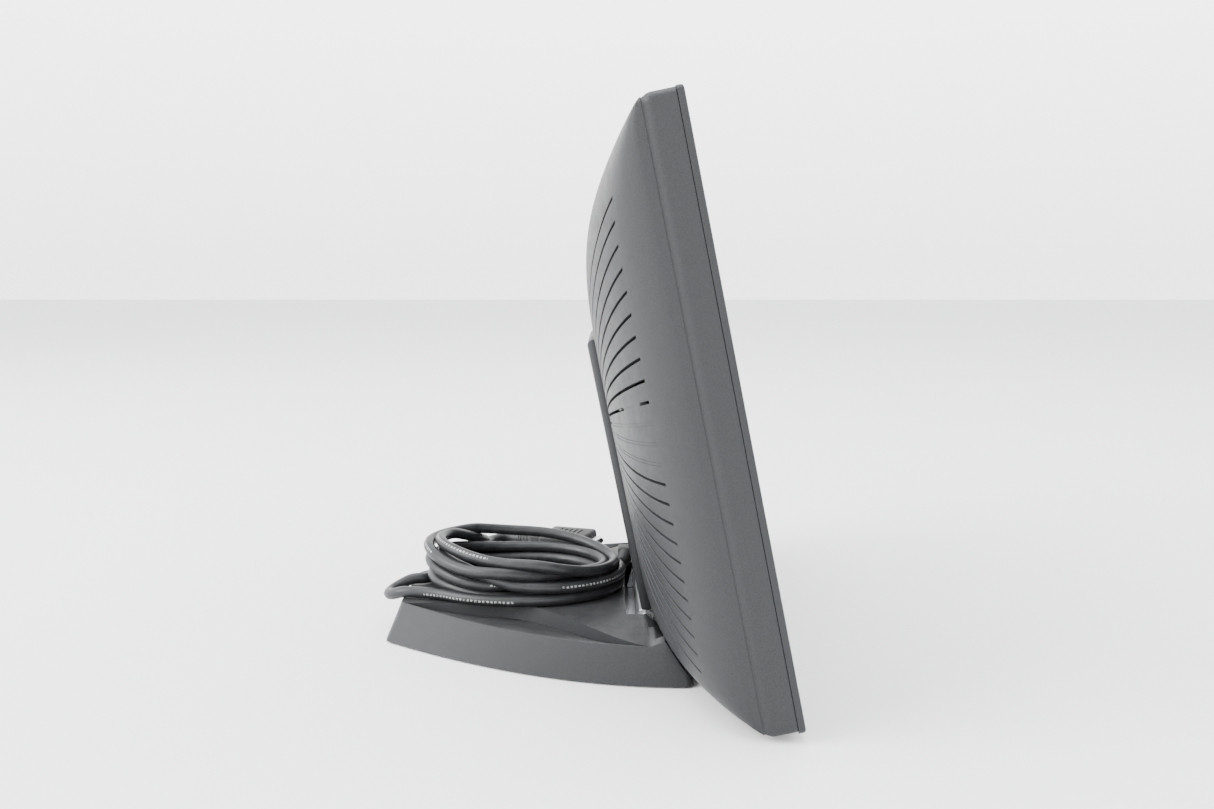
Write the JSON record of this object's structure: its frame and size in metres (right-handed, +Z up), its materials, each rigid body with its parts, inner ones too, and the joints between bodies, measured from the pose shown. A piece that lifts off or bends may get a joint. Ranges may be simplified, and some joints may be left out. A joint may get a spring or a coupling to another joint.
{
  "type": "desktop flat-panel monitor",
  "caption": "Flat-panel desktop monitor with a domed, slotted back, a thin neck on a low tilting base, and its coiled video cable.",
  "frame": {"origin": "centre of the monitor's footprint on the table, cable left out", "axes": "+X to the viewer's right, +Y from the screen to the back, +Z up"},
  "size_m": [0.354, 0.2247, 0.2921],
  "materials": {
    "casing": "satin moulded charcoal plastic, fine texture",
    "dark_casing": "satin",
    "screen_glass": "polished",
    "foam": "matt foam",
    "diffuser": "matt",
    "led": "clear",
    "board": "solder mask",
    "zinc": "zinc plated",
    "steel": "cold rolled",
    "rubber": "matt",
    "cable_jacket": "satin PVC"
  },
  "bodies": {
    "stand": {"base_cover": "casing", "base_weight_plate": "steel", "bottom_cover": "dark_casing", "rubber_foot_1": "rubber", "rubber_foot_2": "rubber", "rubber_foot_3": "rubber", "rubber_foot_4": "rubber", "base_screw_1": "zinc", "base_screw_2": "zinc", "base_screw_3": "zinc", "base_screw_4": "zinc", "hinge_shaft": "zinc", "hinge_bracket_left": "steel", "hinge_bracket_right": "steel", "hinge_washer_left": "zinc", "hinge_washer_right": "zinc", "hinge_nut_left": "zinc", "hinge_nut_right": "zinc", "cord_gland": "rubber", "cord_lead": "cable_jacket", "cord_coil": "cable_jacket", "cord_loop": "cable_jacket", "cord_tail": "cable_jacket", "video_plug": "rubber", "plug_shell": "zinc"},
    "head": {"front_bezel": "casing", "led_lens": "led", "touch_glass": "screen_glass", "glass_gasket": "foam", "lcd_frame": "steel", "lcd_cell": "screen_glass", "backlight_unit": "diffuser", "lcd_bracket_left": "steel", "lcd_bracket_right": "steel", "chassis_plate": "zinc", "main_board": "board", "power_board": "board", "touch_board": "board", "button_board": "board", "dc_jack": "dark_casing", "rear_cover": "casing", "neck_arm": "steel", "neck_cover": "casing", "neck_screw_1": "zinc", "neck_screw_2": "zinc", "neck_screw_3": "zinc", "neck_screw_4": "zinc", "cover_screw_1": "zinc", "cover_screw_2": "zinc"},
    "power_button_key": {"power_button": "dark_casing"},
    "select_button_key": {"select_button": "dark_casing"},
    "up_button_key": {"up_button": "dark_casing"},
    "down_button_key": {"down_button": "dark_casing"},
    "menu_button_key": {"menu_button": "dark_casing"},
    "thumbscrew_left_turn": {"thumbscrew_left": "dark_casing"},
    "thumbscrew_right_turn": {"thumbscrew_right": "dark_casing"}
  },
  "joints": [
    {"name": "tilt", "type": "hinge", "parent": "stand", "child": "head", "pos_m": [0, -0.0405, 0.016], "axis": [-1, 0, 0], "range_deg": [-3, 12]},
    {"name": "power_button_press", "type": "slide", "parent": "head", "child": "power_button_key", "axis": [-1, 0, 0], "range_m": [0, 0.0008], "stiffness_N_per_m": 600, "springref_m": -0.001},
    {"name": "select_button_press", "type": "slide", "parent": "head", "child": "select_button_key", "axis": [-1, 0, 0], "range_m": [0, 0.0008], "stiffness_N_per_m": 600, "springref_m": -0.001},
    {"name": "up_button_press", "type": "slide", "parent": "head", "child": "up_button_key", "axis": [-1, 0, 0], "range_m": [0, 0.0008], "stiffness_N_per_m": 600, "springref_m": -0.001},
    {"name": "down_button_press", "type": "slide", "parent": "head", "child": "down_button_key", "axis": [-1, 0, 0], "range_m": [0, 0.0008], "stiffness_N_per_m": 600, "springref_m": -0.001},
    {"name": "menu_button_press", "type": "slide", "parent": "head", "child": "menu_button_key", "axis": [-1, 0, 0], "range_m": [0, 0.0008], "stiffness_N_per_m": 600, "springref_m": -0.001},
    {"name": "thumbscrew_left_turn", "type": "hinge", "parent": "stand", "child": "thumbscrew_left_turn", "pos_m": [0.06582, 0.01641, 0.0293], "axis": [0.309, 0.9511, 0], "continuous": true},
    {"name": "thumbscrew_right_turn", "type": "hinge", "parent": "stand", "child": "thumbscrew_right_turn", "pos_m": [0.08959, 0.00869, 0.0293], "axis": [0.309, 0.9511, 0], "continuous": true}
  ]
}
